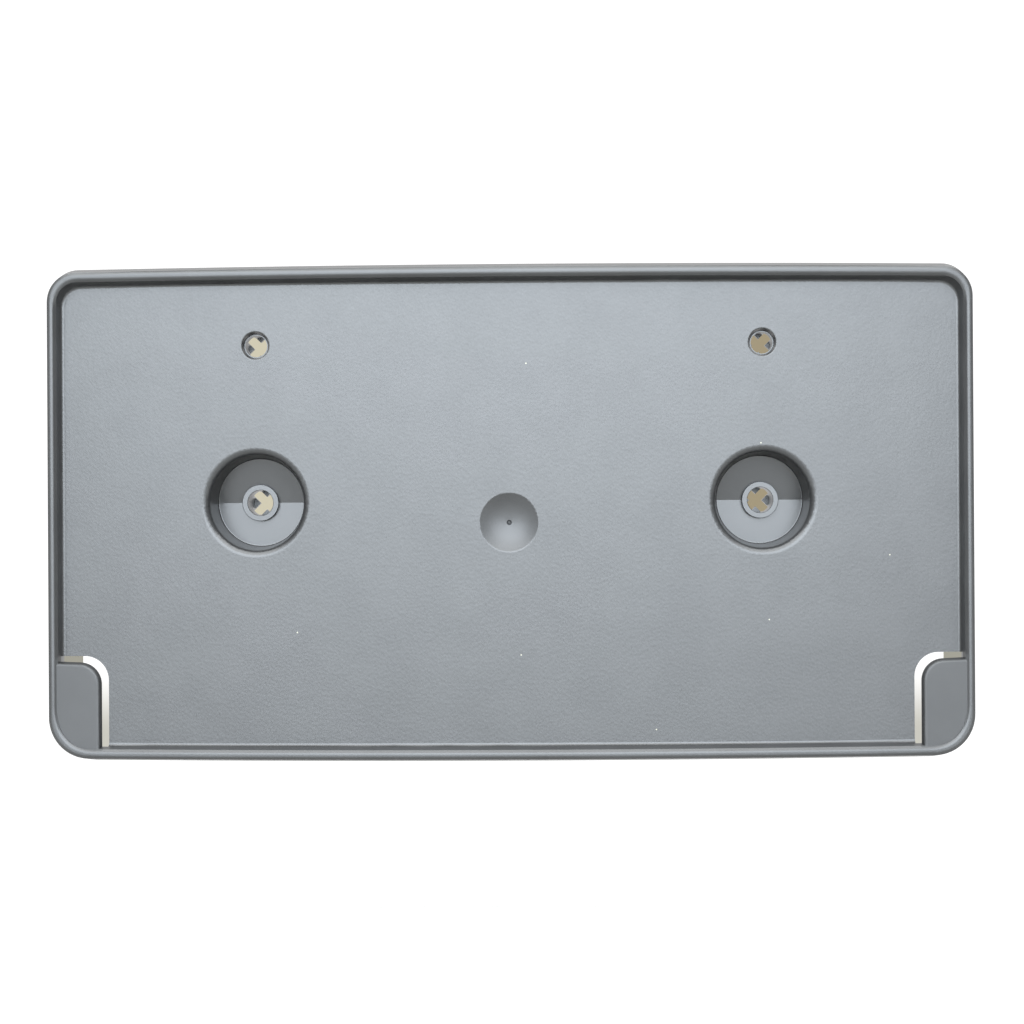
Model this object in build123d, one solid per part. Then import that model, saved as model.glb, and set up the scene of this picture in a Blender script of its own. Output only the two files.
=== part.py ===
from build123d import *
import math
import os

os.makedirs("parts", exist_ok=True)

# Number plate holder moulded in one piece. The front faces -Y, X runs to its right and Z up.
# The origin lies midway between the two bumper screws, in the surface that rests on the bumper.

# Overall shape
hole_spacing = 177.8       # between the plate screws
bow_radius = 1250.0        # bow of the face about an upright axis
half_width = 162.7         # outside of the rim
rim_top = 81.2
rim_bottom = -89.6
corner_top = 10.5          # outer corner radii
corner_bottom = 14.5
plate_wall = 2.5
skirt_wall = 2.3
skirt_depth = 17.8         # from the face to the bumper below the crease
lean = 9.5                 # slope of the bumper above the crease, degrees

# Drafts in degrees
draft_side = 4.0
draft_top = 12.0
draft_bottom = 7.0
draft_rim = 14.2
draft_flare = 45.0         # sloped inner edge of the rim
draft_pocket = 5.6
draft_tab = 15.0

# Rim around the plate
rim_height = 5.5
rim_width = 3.0
rim_bevel = 0.75           # sloped edges of the rim
rim_foot = 1.0             # sloped foot between the rim and the face

# Lower corner tabs and the cut-outs behind them
tab_width = 17.7           # from the outside of the rim
tab_height = 32.4
tab_corner = 6.5
tab_gap = 1.9              # room for the number plate behind a tab
tab_drop = 0.9             # front of a tab below the rim
tab_round = 0.9
slot_side = 3.1            # a cut-out shows this far beside its tab
slot_above = 3.3           # and this far above it
slot_corner = 8.5
slot_bite = 0.9            # a cut-out runs this far into the foot of the rim

# Bumper screw pockets
pocket_x = 88.9
pocket_radius = 17.0
pocket_mouth_round = 2.7
pocket_floor_wall = 2.6
pocket_wall = 2.2
boss_radius = 6.5
boss_bore = 4.55
boss_depth = 13.0          # from the face to the top of the boss
boss_bevel = 0.15
boss_end = 32.0            # from the face to the end of the bore

# Plate screw tubes
tube_z = 55.1
tube_radius = 6.0
tube_bore = 3.85
tube_mouth = 4.9           # the mouth narrows to a small step
tube_step = 4.15
tube_mouth_depth = 3.6
tube_mouth_bevel = 0.35
tube_end = 16.4            # from the face to the end of the bore

# Split ends of the bosses and tubes, which spread behind the sheet that they pass through
end_wall = 2.4
end_bevel = 0.8            # lead-in around the end
slit = 3.2                 # width of the crossed slits
slit_run = 10.0            # how far the slits run up the wall

# Moulding gate in a shallow dish
dish_z = -7.5
dish_radius = 10.3
dish_depth = 3.0
dish_round = 1.6
dish_slope = 6.0           # degrees that the rounded edge of the dish keeps from the face
gate_radius = 0.95         # pit where the runner broke off
gate_depth = 0.9
stub_radius = 0.4
stub_depth = 0.3           # from the floor of the dish to the broken end of the stub

# Ribs behind
rib_wall = 1.6
rib_short = 1.5            # ribs stop this far short of the bumper
rib_x = [0.0, 44.5, 122.0]
rib_z = [tube_z, -46.0]

# Construction
past = 40.0                # how far a cutting tool reaches past the part
lead = 1.0                 # how far a tool starts outside the face that it cuts
tolerance = 0.01           # for finding edges by their place

sag = bow_radius - math.sqrt(bow_radius**2 - pocket_x**2)
face_y = -skirt_depth - sag
bow_axis = Axis((0, face_y + bow_radius, 0), (0, 0, 1))
bow_angle = math.degrees(math.asin((half_width + past / 2) / bow_radius))
high = rim_top + past
low = rim_bottom - past


def tan(angle):
    return math.tan(math.radians(angle))


def corner_ball(radius, draft, other_draft):
    """Radius to fillet between two drafted walls, so that the level corner has the given radius."""
    facing = math.acos(math.sin(math.radians(draft)) * math.sin(math.radians(other_draft)))
    steep = 1 / math.sqrt(1 + tan(draft) ** 2 + tan(other_draft) ** 2)
    return radius * steep * (math.sqrt(2) - 1) / (1 / math.cos(facing / 2) - 1)


def face_at(x):
    """Y of the bowed face at a distance from the middle."""
    return face_y + bow_radius - math.sqrt(bow_radius**2 - x**2)


def bowed(points):
    """Sweep an outline of (depth behind the face, height) about the bow axis."""
    outline = make_face(Polyline(*[(0, face_y + d, z) for d, z in points], close=True))
    return revolve(outline.rotate(bow_axis, -bow_angle), bow_axis, 2 * bow_angle)


def bumper(offset):
    """The room taken by the bumper, moved forward by an offset."""
    d = skirt_depth - offset
    top = d - high * tan(lean)
    return bowed([(d, low), (d, 0), (top, high), (d + past, high), (d + past, low)])


def between_sides(inset, draft):
    """Everything between two drafted side walls."""
    y_rim = face_at(half_width) - rim_height
    near = half_width - inset - past * tan(draft)
    far = half_width - inset + past * tan(draft)
    outline = [(-near, y_rim - past), (near, y_rim - past), (far, y_rim + past), (-far, y_rim + past)]
    section = make_face(Polyline(*[(x, y, low) for x, y in outline], close=True))
    return extrude(section, high - low, dir=(0, 0, 1))


def tray(inset, near, far, top_draft, bottom_draft, side_draft):
    """A bowed block with drafted walls and rounded corners, from one depth behind the face to another."""
    top = rim_top - inset + rim_height * tan(top_draft)
    bottom = rim_bottom + inset - rim_height * tan(bottom_draft)
    block = bowed(
        [
            (near, top + near * tan(top_draft)),
            (far, top + far * tan(top_draft)),
            (far, bottom - far * tan(bottom_draft)),
            (near, bottom - near * tan(bottom_draft)),
        ]
    )
    block = block & between_sides(inset, side_draft)
    along = [e for e in block.edges() if abs(e.tangent_at(0.5).Y) > tolerance]
    upper = [e for e in along if e.center().Z > 0]
    lower = [e for e in along if e.center().Z < 0]
    block = fillet(upper, corner_ball(corner_top - inset, top_draft, side_draft))
    lower = [e for e in block.edges() if any((e.center() - f.center()).length < tolerance for f in lower)]
    return fillet(lower, corner_ball(corner_bottom - inset, bottom_draft, side_draft))


def edges_at(shape, depth):
    """Edges that lie wholly at one depth behind the face."""
    radius = bow_radius - depth

    def off(point):
        return abs(math.hypot(point.X, point.Y - bow_axis.position.Y) - radius)

    return [e for e in shape.edges() if max(off(e.position_at(t)) for t in (0, 0.35, 0.7, 1)) < tolerance]


def near_edges(shape, depth, x, z, reach):
    """Edges at one depth behind the face that lie within reach of a point."""
    points = [(e, e.position_at(0.5)) for e in edges_at(shape, depth)]
    return [e for e, p in points if math.hypot(p.X - x, p.Z - z) < reach]


def rod(x, z, radius, y_near, y_far):
    """A cylinder along Y."""
    length = y_far - y_near
    return Pos(x, (y_near + y_far) / 2, z) * Rot(X=90) * Cylinder(radius, length)


def pit(x, z, radius, y_mouth):
    """A drafted round pit along Y that has the given radius at its mouth."""
    grow = past * tan(draft_pocket)
    return Pos(x, y_mouth, z) * Rot(X=90) * Cone(radius - grow, radius + grow, 2 * past)


def corner_patch(inner, top, radius, inset):
    """Outline of the lower right corner, with its upper inner corner rounded."""
    outer = half_width - inset
    bottom = rim_bottom + inset
    outline = Polyline((inner, 0, top), (outer, 0, top), (outer, 0, bottom), (inner, 0, bottom), close=True)
    patch = make_face(outline)
    near = [v for v in patch.vertices() if v.X < inner + tolerance and v.Z > top - tolerance]
    patch = fillet(near, radius)
    far = [v for v in patch.vertices() if v.X > outer - tolerance and v.Z < bottom + tolerance]
    return fillet(far, corner_bottom - inset)


def rings(shape, x, z, y, *radii):
    """Circles across Y with the given radii about a screw axis."""
    circles = [e for e in shape.edges() if e.geom_type == GeomType.CIRCLE]
    middle = Vector(x, y, z)
    circles = [e for e in circles if (e.arc_center - middle).length < tolerance]
    return [e for e in circles if any(abs(e.radius - r) < tolerance for r in radii)]


def both(shape):
    """A shape and its mirror image on the other side of the middle."""
    return [shape, mirror(shape, about=Plane.YZ)]


def split_end(x, z, radius, y_end):
    """The crossed slits through the closed end of a screw tube and up its wall."""
    arm = Box(2 * (radius + lead), slit_run + lead, slit)
    cross = Rot(Y=45) * arm + Rot(Y=-45) * arm
    return Pos(x, y_end + (lead - slit_run) / 2, z) * cross


def funnel(x, z, mouth, foot, y_mouth, depth):
    """A round mouth along Y that narrows to its foot, started outside the face."""
    wide = mouth + lead * (mouth - foot) / depth
    return Pos(x, y_mouth + (depth - lead) / 2, z) * Rot(X=90) * Cone(foot, wide, depth + lead)


def dish():
    """A shallow ball-shaped dish whose edge is rounded until it leaves the face at a small slope."""
    ball = (dish_radius**2 + dish_depth**2) / (2 * dish_depth)
    ball_y = face_y + dish_depth - ball
    round_y = face_y + dish_round
    round_x = math.sqrt((ball + dish_round) ** 2 - (round_y - ball_y) ** 2)
    turn = math.atan2(round_x, round_y - ball_y)
    slope = math.radians(dish_slope)

    def on_ball(angle):
        return (ball * math.sin(angle), ball_y + ball * math.cos(angle))

    def on_round(angle):
        return (round_x - dish_round * math.sin(angle), round_y - dish_round * math.cos(angle))

    floor = ThreePointArc(on_ball(0), on_ball(turn / 2), on_ball(turn))
    edge = ThreePointArc(on_round(turn), on_round((turn + slope) / 2), on_round(slope))
    front = edge @ 1 + dish_radius * Vector(1, -math.tan(slope))
    mouth = Polyline(edge @ 1, front, (0, front.Y), on_ball(0))
    return Pos(0, 0, dish_z) * revolve(make_face([floor, edge, mouth]), Axis.Y)


# Tray with its rim
holder = tray(0, -rim_height, past, draft_top, draft_bottom, draft_side) - bumper(0)
holder = chamfer(edges_at(holder, -rim_height), rim_bevel)
recess = tray(rim_width, -rim_height - past / 2, 0, -draft_rim, -draft_rim, -draft_rim)
holder -= chamfer(edges_at(recess, 0), rim_foot)
holder -= tray(rim_width - rim_bevel, -rim_height - past / 2, 0, -draft_flare, -draft_flare, -draft_flare)

# Lower corner tabs over their cut-outs
tab_inner = half_width - tab_width
tab_top = rim_bottom + tab_height
tab_front = tab_drop - rim_height
tab_at = Pos(0, face_at(tab_inner) + tab_front - lead, 0)
outline = tab_at * corner_patch(tab_inner, tab_top, tab_corner, rim_width / 2)
tab = extrude(outline, past / 2, dir=(0, 1, 0), taper=-draft_tab)
tab = tab & bowed([(tab_front, low), (tab_front, high), (-tab_gap, high), (-tab_gap, low)])
free_corner = Vector(tab_inner, tab_at.position.Y, tab_top)
tab = fillet(ShapeList(edges_at(tab, tab_front)).sort_by_distance(free_corner)[:3], tab_round)
slot_back = plate_wall + lead
slot_inset = rim_width + rim_height * tan(draft_rim) - slot_bite
outline = tab_at * corner_patch(tab_inner - slot_side, tab_top + slot_above, slot_corner, slot_inset)
cut_out = extrude(outline, past, dir=(0, 1, 0))
cut_out = cut_out & bowed([(-tab_gap, low), (-tab_gap, high), (slot_back, high), (slot_back, low)])
for piece in both(tab):
    holder += piece
for piece in both(cut_out):
    holder -= piece

# Hollow back with ribs, pocket cups and the pad behind the dish
holder -= tray(skirt_wall, plate_wall, past, draft_top, draft_bottom, draft_side)
core = tray(skirt_wall / 2, plate_wall / 2, past, draft_top, draft_bottom, draft_side)
grid = [Pos(x, 0, 0) * Box(rib_wall, 2 * past, 2 * high) for d in rib_x for x in sorted({-d, d})]
grid += [Pos(0, 0, z) * Box(2 * (half_width + past), 2 * past, rib_wall) for z in rib_z]
holder += (grid[0] + grid[1:]) & (core - bumper(rib_short))
core -= bumper(0)
pocket_y = face_at(pocket_x)
for x in (-pocket_x, pocket_x):
    holder += pit(x, 0, pocket_radius + pocket_wall, pocket_y) & core
dish_floor = face_y + dish_depth
holder += rod(0, dish_z, dish_radius + plate_wall, face_y + plate_wall / 2, dish_floor + plate_wall)

# Screw pockets for the bumper, with a folded floor that follows the bumper's crease
pocket = pit(pocket_x, 0, pocket_radius, pocket_y) - bumper(pocket_floor_wall)
for piece in both(pocket):
    holder -= piece
boss_y = pocket_y + boss_depth
bore_y = pocket_y + boss_end
end_y = bore_y + end_wall
for x in (-pocket_x, pocket_x):
    holder = fillet(near_edges(holder, 0, x, 0, pocket_radius + lead), pocket_mouth_round)
    holder += rod(x, 0, boss_radius, boss_y, end_y)
    holder -= rod(x, 0, boss_bore, pocket_y, bore_y)
    holder = chamfer(rings(holder, x, 0, boss_y, boss_radius, boss_bore), boss_bevel)
    holder = chamfer(rings(holder, x, 0, end_y, boss_radius), end_bevel)
    holder -= split_end(x, 0, boss_radius, end_y)

# Screw tubes for the plate
tube_x = hole_spacing / 2
tube_y = face_at(tube_x)
bore_y = tube_y + tube_end
end_y = bore_y + end_wall
for x in (-tube_x, tube_x):
    holder += rod(x, tube_z, tube_radius, tube_y + plate_wall / 2, end_y)
    holder -= funnel(x, tube_z, tube_mouth, tube_step, tube_y, tube_mouth_depth)
    holder -= rod(x, tube_z, tube_bore, tube_y, bore_y)
    holder = chamfer(rings(holder, x, tube_z, end_y, tube_radius), end_bevel)
    holder = chamfer(near_edges(holder, 0, x, tube_z, tube_mouth + lead), tube_mouth_bevel)
    holder -= split_end(x, tube_z, tube_radius, end_y)

# Dish with the gate mark in the middle of the face
holder -= dish()
gate_y = dish_floor + gate_depth
holder -= rod(0, dish_z, gate_radius, dish_floor - lead, gate_y)
holder += rod(0, dish_z, stub_radius, dish_floor + stub_depth, (gate_y + dish_floor + plate_wall) / 2)

holder.label = "plate_holder"
export_step(holder, "parts/plate_holder.step")
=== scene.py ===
import math

import bmesh
import bpy
from mathutils import Matrix, Vector


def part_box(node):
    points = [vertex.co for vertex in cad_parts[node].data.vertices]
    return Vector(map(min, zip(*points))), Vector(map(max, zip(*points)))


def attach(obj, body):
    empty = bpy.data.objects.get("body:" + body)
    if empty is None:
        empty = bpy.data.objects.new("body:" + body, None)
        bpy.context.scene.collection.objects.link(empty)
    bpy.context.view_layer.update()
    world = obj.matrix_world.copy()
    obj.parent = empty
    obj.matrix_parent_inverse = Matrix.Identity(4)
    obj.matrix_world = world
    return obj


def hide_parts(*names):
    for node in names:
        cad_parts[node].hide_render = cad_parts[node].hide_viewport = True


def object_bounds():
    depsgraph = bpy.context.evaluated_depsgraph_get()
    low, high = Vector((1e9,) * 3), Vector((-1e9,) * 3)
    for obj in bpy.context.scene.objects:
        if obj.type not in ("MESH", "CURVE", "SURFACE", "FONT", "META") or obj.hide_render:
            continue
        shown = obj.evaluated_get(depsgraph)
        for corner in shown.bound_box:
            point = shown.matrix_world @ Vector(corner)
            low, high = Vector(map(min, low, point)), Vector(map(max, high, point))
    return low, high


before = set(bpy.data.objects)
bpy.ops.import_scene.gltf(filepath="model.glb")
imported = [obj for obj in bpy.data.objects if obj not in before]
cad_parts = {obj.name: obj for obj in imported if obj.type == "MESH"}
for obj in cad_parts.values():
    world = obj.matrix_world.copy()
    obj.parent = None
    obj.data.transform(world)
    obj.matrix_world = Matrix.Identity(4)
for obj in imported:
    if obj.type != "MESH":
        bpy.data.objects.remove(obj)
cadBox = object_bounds()
print("frame loaded:", sorted(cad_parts))


# small helpers for objects

def newObject(name, data):
    made = bpy.data.objects.new(name, data)
    bpy.context.scene.collection.objects.link(made)
    return made


def bake(piece):  # what the modifiers make becomes a plain mesh
    made = piece.evaluated_get(bpy.context.evaluated_depsgraph_get())
    piece.data = bpy.data.meshes.new_from_object(made)
    piece.modifiers.clear()


# small helpers for node trees

nodeSpacing = (200, 160)


def addNode(tree, kind, place, **settings):
    node = tree.nodes.new(kind)
    node.location = (place[0] * nodeSpacing[0], place[1] * nodeSpacing[1])
    for name, value in settings.items():
        setattr(node, name, value)
    return node


def fill(node, **values):  # set inputs by name, with _ for a space
    for name, value in values.items():
        node.inputs[name.replace("_", " ")].default_value = value
    return node


def feed(tree, socket, value):  # a number or a colour is set, an output is linked
    if isinstance(value, (int, float, tuple)):
        socket.default_value = value
    else:
        tree.links.new(value, socket)


def mathNode(tree, operation, place, *values):
    node = addNode(tree, "ShaderNodeMath", place, operation=operation)
    for socket, value in zip(node.inputs, values):
        feed(tree, socket, value)
    return node.outputs[0]


def overlap(tree, place, first, *others):  # where all of these masks hold
    for step, other in enumerate(others):
        first = mathNode(tree, "MULTIPLY", (place[0] + step, place[1]), first, other)
    return first


def ramp(tree, place, source, limits, low=0.0, high=1.0):
    node = addNode(tree, "ShaderNodeMapRange", place, interpolation_type="SMOOTHSTEP")
    fill(node, From_Min=limits[0], From_Max=limits[1], To_Min=low, To_Max=high)
    tree.links.new(source, node.inputs["Value"])
    return node.outputs["Result"]


def blend(tree, place, amount, first, second):  # mix two colours or two numbers
    plain = isinstance(second, float)
    node = addNode(tree, "ShaderNodeMix", place, data_type="FLOAT" if plain else "RGBA")
    tree.links.new(amount, node.inputs[0])
    sockets = node.inputs[2:4] if plain else node.inputs[6:8]
    for socket, value in zip(sockets, (first, second)):
        feed(tree, socket, value)
    return node.outputs[0] if plain else node.outputs[2]


def pair(tree, place, first, second):  # two numbers as a flat vector
    node = addNode(tree, "ShaderNodeCombineXYZ", place)
    tree.links.new(first, node.inputs["X"])
    tree.links.new(second, node.inputs["Y"])
    return node.outputs[0]


def distance(tree, place, first, second):  # length of two crossed offsets
    node = addNode(tree, "ShaderNodeVectorMath", (place[0] + 1, place[1]), operation="LENGTH")
    tree.links.new(pair(tree, place, first, second), node.inputs[0])
    return node.outputs["Value"]


def noise(tree, place, where, scale, detail):
    node = fill(addNode(tree, "ShaderNodeTexNoise", place), Scale=scale, Detail=detail)
    tree.links.new(where, node.inputs["Vector"])
    return node.outputs["Fac"]


def mixShaders(tree, place, amount, first, second):
    node = addNode(tree, "ShaderNodeMixShader", place)
    for socket, source in zip(node.inputs, (amount, first.outputs[0], second.outputs[0])):
        tree.links.new(source, socket)
    return node


def newMaterial(name):
    material = bpy.data.materials.new(name)
    material.use_nodes = True
    material.node_tree.nodes.clear()
    return material, material.node_tree


def showSurface(tree, place, shader):
    output = addNode(tree, "ShaderNodeOutputMaterial", place)
    tree.links.new(shader.outputs[0], output.inputs[0])


# the moulded shell

shell = {
    "node": "plate_holder",
    "slot": "charcoal_plastic",
    "rimHeight": 0.0055,
    "bowRadius": 1.25,
    "merge": 0.000002,                # joins the loose triangles
    "roundSegments": 3,
    "roundProfile": 0.5,              # an arc
    "crownDepth": 0.0004,             # the edges of the rim's crown lie within this of its top
    "crownAngle": 15.0,
    "crownRound": 0.00048,            # rounds them into a bead
    "pocketX": 0.0889,
    "floorReach": (0.0063, 0.0168),   # a pocket's floor, from its boss to its wall
    "floorDepth": (0.0100, 0.0158),   # and how far it lies behind the face
    "floorFacing": -0.8,              # its normal points to the front by at least this much
    "footReach": 0.0140,
    "footRound": 0.00035,             # where a pocket wall meets its floor
    "rimFoot": (-0.0030, 0.0003),     # depths of the slope between rim and face, shaded as a hollow
    "sharpAngle": 25.0,               # seams sharper than this stay crisp
    "foldAngle": 5.0,                 # and so does the fold across the pocket floors, at z = 0
    "foldHeight": 0.00003,
    "faceReach": 0.00002,             # points this close to the bow lie on the face
    "faceFacing": 0.5,                # if their normal points outwards by this much
}
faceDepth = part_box(shell["node"])[0].y + shell["rimHeight"]
bowAxis = faceDepth + shell["bowRadius"]


def depthOf(point):  # how far a point lies behind the bowed face
    return shell["bowRadius"] - math.hypot(point.x, point.y - bowAxis)


def fromScrew(point):  # distance from the axis of the nearer bumper screw
    return math.hypot(abs(point.x) - shell["pocketX"], point.z)


def within(value, limits):
    return limits[0] < value < limits[1]


def onPocketFloor(point):
    return within(fromScrew(point), shell["floorReach"]) and within(depthOf(point), shell["floorDepth"])


def mergedCopy(cad):
    bm = bmesh.new()
    bm.from_mesh(cad.data)
    seam = bm.edges.layers.int.new("seam")
    for edge in bm.edges:
        edge[seam] = int(edge.is_boundary)  # the mesh is split where two surfaces meet
    bmesh.ops.remove_doubles(bm, verts=bm.verts, dist=shell["merge"])
    bm.normal_update()
    return bm, seam


def roundEdges(bm, edges, size):
    bmesh.ops.bevel(bm, geom=edges, offset=size, offset_type="OFFSET", segments=shell["roundSegments"],
                    profile=shell["roundProfile"], affect="EDGES", clamp_overlap=False)


def roundPocketFeet(bm, seam):
    floors = {f for f in bm.faces
              if f.normal.y < shell["floorFacing"] and all(onPocketFloor(v.co) for v in f.verts)}
    inner = [e for e in bm.edges
             if not e[seam] and len(e.link_faces) == 2 and set(e.link_faces) <= floors]
    bmesh.ops.dissolve_edges(bm, edges=inner, use_verts=False)
    feet = [e for e in bm.edges
            if e[seam] and not e.is_convex
            and all(onPocketFloor(v.co) and fromScrew(v.co) > shell["footReach"] for v in e.verts)]
    roundEdges(bm, feet, shell["footRound"])
    print("pocket feet:", len(feet), "edges")


def roundCrown(bm, seam):
    limit = shell["crownDepth"] - shell["rimHeight"]
    crown = [e for e in bm.edges
             if e[seam] and e.is_convex and e.calc_face_angle(0) > math.radians(shell["crownAngle"])
             and all(depthOf(v.co) < limit for v in e.verts)]
    roundEdges(bm, crown, shell["crownRound"])
    print("rim crown:", len(crown), "edges")


def markEdges(bm, seam):  # which edges are crisp
    for face in bm.faces:
        face.smooth = True
    for edge in bm.edges:
        angle = math.degrees(edge.calc_face_angle(0))
        onSeam = edge[seam] and angle > shell["sharpAngle"]
        onFold = angle > shell["foldAngle"] and all(abs(v.co.z) < shell["foldHeight"] for v in edge.verts)
        onFoot = not edge.is_convex and all(within(depthOf(v.co), shell["rimFoot"]) for v in edge.verts)
        edge.smooth = onFoot or not (onFold or onSeam)


def weighNormals(piece):  # large faces decide how the corners beside them are shaded
    if "custom_normal" in piece.data.attributes:
        piece.data.attributes.remove(piece.data.attributes["custom_normal"])
    weights = piece.modifiers.new("faceWeights", "WEIGHTED_NORMAL")
    weights.keep_sharp = True
    bake(piece)


def setFaceNormals(mesh):  # the face is bowed evenly, so its corners point straight away from the axis
    normals = [corner.vector.copy() for corner in mesh.corner_normals]
    for loop in mesh.loops:
        point = mesh.vertices[loop.vertex_index].co
        outward = Vector((point.x, point.y - bowAxis, 0)).normalized()
        facing = outward.dot(normals[loop.index])
        if abs(depthOf(point)) < shell["faceReach"] and facing > shell["faceFacing"]:
            normals[loop.index] = outward
    mesh.normals_split_custom_set(normals)


def makeShell():
    bm, seam = mergedCopy(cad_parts[shell["node"]])
    roundPocketFeet(bm, seam)
    roundCrown(bm, seam)
    bm.normal_update()
    markEdges(bm, seam)
    bm.edges.layers.int.remove(seam)
    mesh = bpy.data.meshes.new("holderShell")
    bm.to_mesh(mesh)
    bm.free()
    piece = newObject("holderShell", mesh)
    weighNormals(piece)
    setFaceNormals(piece.data)
    return piece


# charcoal plastic with a fine moulded grain on the face

plastic = {
    "dark": (0.0115, 0.0115, 0.0115, 1.0),
    "light": (0.0145, 0.0145, 0.0145, 1.0),
    "cloudScale": 60.0,               # patches of the two
    "cloudDetail": 4.0,
    "cloudRange": (0.3, 0.7),
    "ior": 1.5,
    "roughFace": (0.40, 0.42),
    "sheenScale": 420.0,              # how the face varies between them
    "sheenDetail": 3.0,
    "sheenRange": (0.25, 0.75),
    "faceBand": (0.0004, 0.0008),     # the grain lies this close to the bowed face, then fades
    "roughRim": 0.34,                 # walls of the rim and back
    "roughCrown": 0.47,
    "crownBand": (0.0049, 0.0053),    # heights over the face
    "roughPocket": 0.30,
    "pocketReach": 0.0185,
    "roughTab": 0.63,
    "tabInner": 0.1435,
    "tabTop": -0.0545,
    "tabHeight": (0.0045, 0.0005),    # height of the tab's front, give or take
    "roughDish": 0.50,
    "dishHeight": -0.0075,            # centre of the dish, on the middle of the face
    "dishReach": 0.0099,
    "roughGate": 0.75,
    "gateReach": 0.0009,              # torn plastic where the runner broke off: rougher, and painted darker as shade in its pit
    "gatePaintedShade": (0.006, 0.006, 0.006, 1.0),
    "grainScale": 950.0,              # about one grain to a millimetre
    "grainSmoothness": 0.6,
    "grainDepth": 0.00003,
    "grainStrength": 0.8,
    "speckScale": 24.0,               # one speck of dust to a few centimetres at most
    "speckRadius": 0.00024,
    "speckShare": 0.3,
    "speckColour": (0.17, 0.16, 0.12, 1.0),
}


def measureSpot(tree):  # where a point of the surface lies on the holder
    where = addNode(tree, "ShaderNodeTexCoord", (-9, 0)).outputs["Object"]
    split = addNode(tree, "ShaderNodeSeparateXYZ", (-8, -2))
    tree.links.new(where, split.inputs[0])
    x, y, z = split.outputs
    aside = mathNode(tree, "ABSOLUTE", (-7, -1), x)
    pastAxis = mathNode(tree, "SUBTRACT", (-7, -3), y, bowAxis)
    pastPocket = mathNode(tree, "SUBTRACT", (-7, -5), aside, shell["pocketX"])
    overDish = mathNode(tree, "SUBTRACT", (-7, -7), z, plastic["dishHeight"])
    fromAxis = distance(tree, (-6, -3), x, pastAxis)
    height = mathNode(tree, "SUBTRACT", (-4, -3), fromAxis, shell["bowRadius"])  # over the bowed face
    offFace = mathNode(tree, "ABSOLUTE", (-3, -3), height)
    return {
        "where": where,
        "x": x,
        "z": z,
        "aside": aside,
        "height": height,
        "onFace": ramp(tree, (-2, -3), offFace, plastic["faceBand"], 1.0, 0.0),
        "fromPocket": distance(tree, (-6, -5), pastPocket, z),
        "fromDish": distance(tree, (-6, -7), x, overDish),
    }


# plastic tone in random patches, specks of dust on the face, and painted shade in the gate's pit
def dustAndGateShade(tree, spot, onGate):
    cloud = noise(tree, (-5, 2), spot["where"], plastic["cloudScale"], plastic["cloudDetail"])
    shade = ramp(tree, (-3, 2), cloud, plastic["cloudRange"])
    colour = blend(tree, (-2, 2), shade, plastic["dark"], plastic["light"])
    dust = addNode(tree, "ShaderNodeTexVoronoi", (-5, 4), voronoi_dimensions="2D")
    fill(dust, Scale=plastic["speckScale"])
    overFace = pair(tree, (-6, 4), spot["x"], spot["z"])  # the dust lies on the face, not in the wall
    tree.links.new(overFace, dust.inputs["Vector"])
    tint = addNode(tree, "ShaderNodeSeparateColor", (-4, 5))
    tree.links.new(dust.outputs["Color"], tint.inputs[0])
    speckSize = plastic["speckRadius"] * plastic["speckScale"]
    near = mathNode(tree, "LESS_THAN", (-3, 4), dust.outputs["Distance"], speckSize)
    kept = mathNode(tree, "LESS_THAN", (-3, 5), tint.outputs[0], plastic["speckShare"])
    speck = overlap(tree, (-2, 4), near, kept, spot["onFace"])
    colour = blend(tree, (0, 2), speck, colour, plastic["speckColour"])
    # painted shade: the gate's pit is coloured darker than the plastic
    return blend(tree, (1, 2), onGate, colour, plastic["gatePaintedShade"])


def patchedRoughness(tree, spot, onGate):
    sheen = noise(tree, (-5, 0), spot["where"], plastic["sheenScale"], plastic["sheenDetail"])
    rough = ramp(tree, (-3, 0), sheen, plastic["sheenRange"], *plastic["roughFace"])
    smoothSide = mathNode(tree, "SUBTRACT", (-1, -1), 1.0, spot["onFace"])
    onCrown = ramp(tree, (-1, 1), spot["height"], plastic["crownBand"])
    nearPocket = mathNode(tree, "LESS_THAN", (-3, -5), spot["fromPocket"], plastic["pocketReach"])
    outer = mathNode(tree, "GREATER_THAN", (-3, -1), spot["aside"], plastic["tabInner"])
    lower = mathNode(tree, "LESS_THAN", (-3, -2), spot["z"], plastic["tabTop"])
    tabHeight, tabBand = plastic["tabHeight"]
    offTab = mathNode(tree, "ABSOLUTE", (-2, -4), mathNode(
        tree, "SUBTRACT", (-3, -4), spot["height"], tabHeight))
    tabFront = mathNode(tree, "LESS_THAN", (-1, -4), offTab, tabBand)
    patches = (
        (smoothSide, "roughRim"),
        (onCrown, "roughCrown"),
        (overlap(tree, (0, -5), nearPocket, smoothSide), "roughPocket"),
        (overlap(tree, (-1, -2), outer, lower, tabFront), "roughTab"),
        (mathNode(tree, "LESS_THAN", (-3, -7), spot["fromDish"], plastic["dishReach"]), "roughDish"),
        (onGate, "roughGate"),
    )
    for step, (patch, name) in enumerate(patches):  # a later patch lies over the earlier ones
        rough = blend(tree, (step + 1, 0), patch, rough, plastic[name])
    return rough


def faceGrain(tree, spot):
    grain = addNode(tree, "ShaderNodeTexVoronoi", (-5, -9), feature="SMOOTH_F1")
    fill(grain, Scale=plastic["grainScale"], Smoothness=plastic["grainSmoothness"])
    tree.links.new(spot["where"], grain.inputs["Vector"])
    bump = fill(addNode(tree, "ShaderNodeBump", (0, -9)), Distance=plastic["grainDepth"])
    tree.links.new(grain.outputs["Distance"], bump.inputs["Height"])
    strength = mathNode(tree, "MULTIPLY", (-1, -9), spot["onFace"], plastic["grainStrength"])
    tree.links.new(strength, bump.inputs["Strength"])
    return bump.outputs[0]


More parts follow.
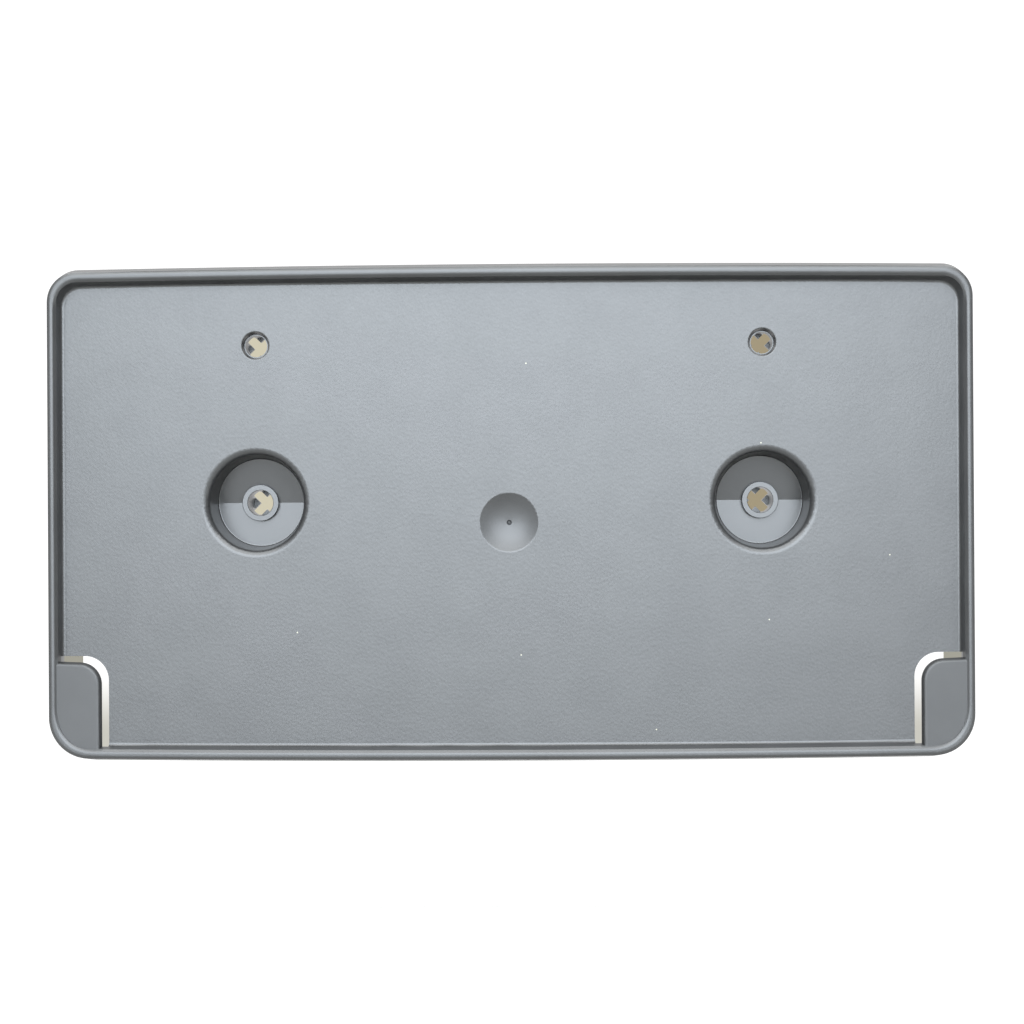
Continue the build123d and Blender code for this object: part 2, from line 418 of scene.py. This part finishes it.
def charcoalPlastic():
    material, tree = newMaterial("charcoalPlastic")
    spot = measureSpot(tree)
    onGate = mathNode(tree, "LESS_THAN", (-3, -8), spot["fromDish"], plastic["gateReach"])
    surface = fill(addNode(tree, "ShaderNodeBsdfPrincipled", (8, 0)), IOR=plastic["ior"])
    tree.links.new(dustAndGateShade(tree, spot, onGate), surface.inputs["Base Color"])
    tree.links.new(patchedRoughness(tree, spot, onGate), surface.inputs["Roughness"])
    tree.links.new(faceGrain(tree, spot), surface.inputs["Normal"])
    showSurface(tree, (10, 0), surface)
    return material


holderShell = makeShell()
charcoal = charcoalPlastic()
holderShell.data.materials.append(charcoal)
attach(holderShell, "root")
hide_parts(shell["node"])
print("shell made:", len(holderShell.data.polygons), "faces")


# round marks that the ejector pins leave on the back of the plate

pinMarks = {
    "columns": (0.022, 0.066, 0.133),
    "rows": (0.067, 0.028, -0.029, -0.066),
    "wall": 0.0025,                   # the marks sit on the back of this wall
    "radius": 0.003,
    "proud": 0.00025,
    "sunk": 0.0005,
    "sides": 32,
}


def pinMarkTree(material, sizes):
    tree = bpy.data.node_groups.new("pinMarkTree", "GeometryNodeTree")
    tree.interface.new_socket("Geometry", in_out="INPUT", socket_type="NodeSocketGeometry")
    for name in sizes:
        tree.interface.new_socket(name, in_out="INPUT", socket_type="NodeSocketFloat")
    tree.interface.new_socket("Geometry", in_out="OUTPUT", socket_type="NodeSocketGeometry")
    given = addNode(tree, "NodeGroupInput", (-5, 0))
    depth = mathNode(tree, "ADD", (-3, -2), given.outputs["Proud"], given.outputs["Sunk"])
    disc = fill(addNode(tree, "GeometryNodeMeshCylinder", (-1, -2)), Vertices=pinMarks["sides"])
    tree.links.new(given.outputs["Radius"], disc.inputs["Radius"])
    tree.links.new(depth, disc.inputs["Depth"])
    spot = addNode(tree, "ShaderNodeSeparateXYZ", (-4, 2))
    tree.links.new(addNode(tree, "GeometryNodeInputPosition", (-5, 2)).outputs[0], spot.inputs[0])
    inward = mathNode(tree, "MULTIPLY", (-3, 3), spot.outputs["X"], -1.0)
    backward = mathNode(tree, "SUBTRACT", (-3, 2), given.outputs["Bow Axis"], spot.outputs["Y"])
    turn = addNode(tree, "FunctionNodeAlignRotationToVector", (-1, 2), axis="Z")
    tree.links.new(pair(tree, (-2, 2), inward, backward), turn.inputs["Vector"])  # towards the bow axis
    place = addNode(tree, "GeometryNodeInstanceOnPoints", (1, 0))
    tree.links.new(given.outputs["Geometry"], place.inputs["Points"])
    tree.links.new(disc.outputs["Mesh"], place.inputs["Instance"])
    tree.links.new(turn.outputs[0], place.inputs["Rotation"])
    realize = addNode(tree, "GeometryNodeRealizeInstances", (2, 0))
    finish = fill(addNode(tree, "GeometryNodeSetMaterial", (3, 0)), Material=material)
    result = addNode(tree, "NodeGroupOutput", (4, 0))
    for first, second in ((place, realize), (realize, finish), (finish, result)):
        tree.links.new(first.outputs[0], second.inputs[0])
    return tree


def makePinMarks(material):
    reach = shell["bowRadius"] - pinMarks["wall"] - (pinMarks["proud"] - pinMarks["sunk"]) / 2
    spots = [(side * x, bowAxis - math.sqrt(reach**2 - x**2), z)
             for x in pinMarks["columns"] for side in (-1, 1) for z in pinMarks["rows"]]
    mesh = bpy.data.meshes.new("pinSpots")
    mesh.from_pydata(spots, [], [])
    piece = newObject("pinMarks", mesh)
    sizes = {
        "Radius": pinMarks["radius"],
        "Proud": pinMarks["proud"],
        "Sunk": pinMarks["sunk"],
        "Bow Axis": bowAxis,
    }
    modifier = piece.modifiers.new("pinMarks", "NODES")
    modifier.node_group = pinMarkTree(material, sizes)
    for item in modifier.node_group.interface.items_tree:
        if item.in_out == "INPUT" and item.name in sizes:
            modifier[item.identifier] = sizes[item.name]
    bake(piece)
    for face in piece.data.polygons:
        face.use_smooth = False
    return piece


marks = makePinMarks(charcoal)
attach(marks, "root")
print("pin marks made:", len(marks.data.polygons), "faces")


# floor, backdrop and sky

studio = {
    "floorSize": 6.0,
    "floorFront": 1.6,                # the floor ends under the front softbox
    "floorDrop": 0.06,                # the holder hangs clear of the floor, as it does on a bumper
    "floorColour": (0.38, 0.37, 0.35, 1.0),
    "floorRough": 0.9,
    "wallDistance": 0.045,            # the backdrop stands this far behind the bumper plane
    "paper": (1.15, 1.15, 1.15, 1.0),
    "skySeen": (1.0, 1.0, 1.0, 1.0),  # behind the holder, in views that miss the backdrop
    "sky": (1.0, 0.97, 0.92, 1.0),    # the light that it gives
    "skyStrength": 0.4,
}

# small glowing cards just behind the holder, seen through its openings only: painted shadow of the holder
# on the paper behind it

cards = {
    "distance": 0.019,
    "hole": (0.080, 0.099, -0.011, 0.068),    # from the middle outwards, then upwards
    "slot": (0.1385, 0.1525, -0.0915, -0.050),
    "end": (0.1575, 0.166, -0.068, -0.050),
    "fade": (-0.085, -0.056),         # heights between a card's lower and upper colour; the slot cards darken lower down with painted shade
    # paper in the holder's shadow, painted into the cards behind the holes, lighter on the left than on
    # the right
    "shadedPaperLeft": (0.64, 0.60, 0.46, 1.0),
    "shadedPaperRight": (0.37, 0.315, 0.21, 1.0),
    "shadedPaperSlot": (0.60, 0.59, 0.53, 1.0),
    # painted shadow of the paper at the outer ends of the cut-outs
    "shadedPaperEnd": (0.375, 0.365, 0.31, 1.0),
}


def makeStagePiece(name, corners, material):
    mesh = bpy.data.meshes.new(name)
    mesh.from_pydata(corners, [], [(0, 1, 2, 3)])
    mesh.materials.append(material)
    piece = newObject(name, mesh)
    return piece


def makeUpright(name, depth, across, upwards, material):  # faces the front
    left, right = across
    low, high = upwards
    corners = [(left, depth, low), (right, depth, low), (right, depth, high), (left, depth, high)]
    return makeStagePiece(name, corners, material)


def paleFloor():
    material, tree = newMaterial("paleFloor")
    surface = addNode(tree, "ShaderNodeBsdfPrincipled", (0, 0))
    fill(surface, Base_Color=studio["floorColour"], Roughness=studio["floorRough"])
    showSurface(tree, (2, 0), surface)
    return material


def glowingPaper(name, upper, lower):  # seen from the front only, so views from behind look through it
    material, tree = newMaterial(name)
    place = addNode(tree, "ShaderNodeSeparateXYZ", (-3, 0))
    tree.links.new(addNode(tree, "ShaderNodeTexCoord", (-4, 0)).outputs["Object"], place.inputs[0])
    rise = ramp(tree, (-2, 0), place.outputs["Z"], cards["fade"])
    glow = addNode(tree, "ShaderNodeEmission", (1, 0))
    tree.links.new(blend(tree, (0, 0), rise, lower, upper), glow.inputs["Color"])
    clear = addNode(tree, "ShaderNodeBsdfTransparent", (1, -1))
    behind = addNode(tree, "ShaderNodeNewGeometry", (1, 2)).outputs["Backfacing"]
    showSurface(tree, (3, 0), mixShaders(tree, (2, 0), behind, glow, clear))
    return material


def makeRoom():
    half = studio["floorSize"] / 2
    low = cadBox[0][2] - studio["floorDrop"]
    front = -studio["floorFront"]
    corners = [(-half, front, low), (half, front, low), (half, half, low), (-half, half, low)]
    makeStagePiece("studioFloor", corners, paleFloor())
    wallPaper = glowingPaper("wallPaper", studio["paper"], studio["paper"])
    makeUpright("studioWall", studio["wallDistance"], (-half, half), (low, low + half), wallPaper)


def makeCard(name, reach, side, material):
    inner, outer, low, high = reach
    across = sorted((side * inner, side * outer))
    card = makeUpright(name, cards["distance"], across, (low, high), material)
    card.visible_diffuse = False
    card.visible_glossy = False


def makeCards():
    # the slot cards fade from white paper at the top to painted shade at the bottom
    slotShadePaper = glowingPaper("slotShadePaper", studio["paper"], cards["shadedPaperSlot"])
    # the end cards glow with painted shadow
    endShadePaper = glowingPaper("endShadePaper", cards["shadedPaperEnd"], cards["shadedPaperEnd"])
    for name, side in (("Left", -1), ("Right", 1)):
        shadedPaper = cards["shadedPaper" + name]
        # the hole cards glow with painted shadow
        makeCard("holeCard" + name, cards["hole"], side, glowingPaper("shadedPaper" + name, shadedPaper, shadedPaper))
        makeCard("slotCard" + name, cards["slot"], side, slotShadePaper)
        makeCard("endCard" + name, cards["end"], side, endShadePaper)


def makeSky():
    world = bpy.data.worlds.new("paleSky")
    bpy.context.scene.world = world
    world.use_nodes = True
    tree = world.node_tree
    tree.nodes.clear()
    seen = fill(addNode(tree, "ShaderNodeBackground", (0, 1)), Color=studio["skySeen"])
    lit = fill(addNode(tree, "ShaderNodeBackground", (0, 0)), Color=studio["sky"])
    fill(lit, Strength=studio["skyStrength"])
    path = addNode(tree, "ShaderNodeLightPath", (0, 2))
    choose = mixShaders(tree, (1, 0), path.outputs["Is Camera Ray"], lit, seen)
    output = addNode(tree, "ShaderNodeOutputWorld", (2, 0))
    tree.links.new(choose.outputs[0], output.inputs[0])


# light and camera

softboxes = {
    "front": {"place": (-0.05, -1.56, 0.55), "size": (2.5, 1.34),
              "power": 170.0, "colour": (0.84, 0.92, 1.0)},
    "top": {"place": (0.0, -0.5, 1.6), "size": (2.8, 2.2),
            "power": 155.0, "colour": (0.95, 0.98, 1.0)},
    "back": {"place": (0.25, 1.5, 0.35), "size": (1.6, 1.2),
             "power": 60.0, "colour": (1.0, 1.0, 1.0)},
}


def addSoftbox(side):
    settings = softboxes[side]
    light = bpy.data.lights.new(side + "Softbox", "AREA")
    light.shape = "RECTANGLE"
    light.size, light.size_y = settings["size"]
    light.energy = settings["power"]
    light.color = settings["colour"]
    box = newObject(side + "Softbox", light)
    box.location = settings["place"]
    box.rotation_euler = (-box.location).to_track_quat("-Z", "Y").to_euler()  # aimed at the origin
    box.visible_camera = False


photoCamera = {
    "place": (0.015293, -0.82094, -0.005478),
    "yaw": -0.0178,                   # radians, to the right
    "pitch": 0.00205,
    "roll": -0.00601,
    "lens": 80.65,
    "sensor": 36.0,
    "clipStart": 0.01,
}


def makeCamera():
    yaw, pitch, roll = photoCamera["yaw"], photoCamera["pitch"], photoCamera["roll"]
    ahead = Vector((math.sin(yaw) * math.cos(pitch), math.cos(yaw) * math.cos(pitch), math.sin(pitch)))
    level = Vector((math.cos(yaw), -math.sin(yaw), 0))
    upright = level.cross(ahead)
    right = math.cos(roll) * level + math.sin(roll) * upright
    up = math.cos(roll) * upright - math.sin(roll) * level
    lens = bpy.data.cameras.new("photoCamera")
    lens.lens = photoCamera["lens"]
    lens.sensor_fit = "HORIZONTAL"
    lens.sensor_width = photoCamera["sensor"]
    lens.clip_start = photoCamera["clipStart"]
    camera = newObject("photoCamera", lens)
    turn = Matrix((right, up, -ahead)).transposed()
    camera.matrix_world = Matrix.Translation(photoCamera["place"]) @ turn.to_4x4()
    bpy.context.scene.camera = camera


makeRoom()
makeCards()
makeSky()
for side in softboxes:
    addSoftbox(side)
makeCamera()
bpy.context.scene.view_settings.view_transform = "Standard"
print("studio made")
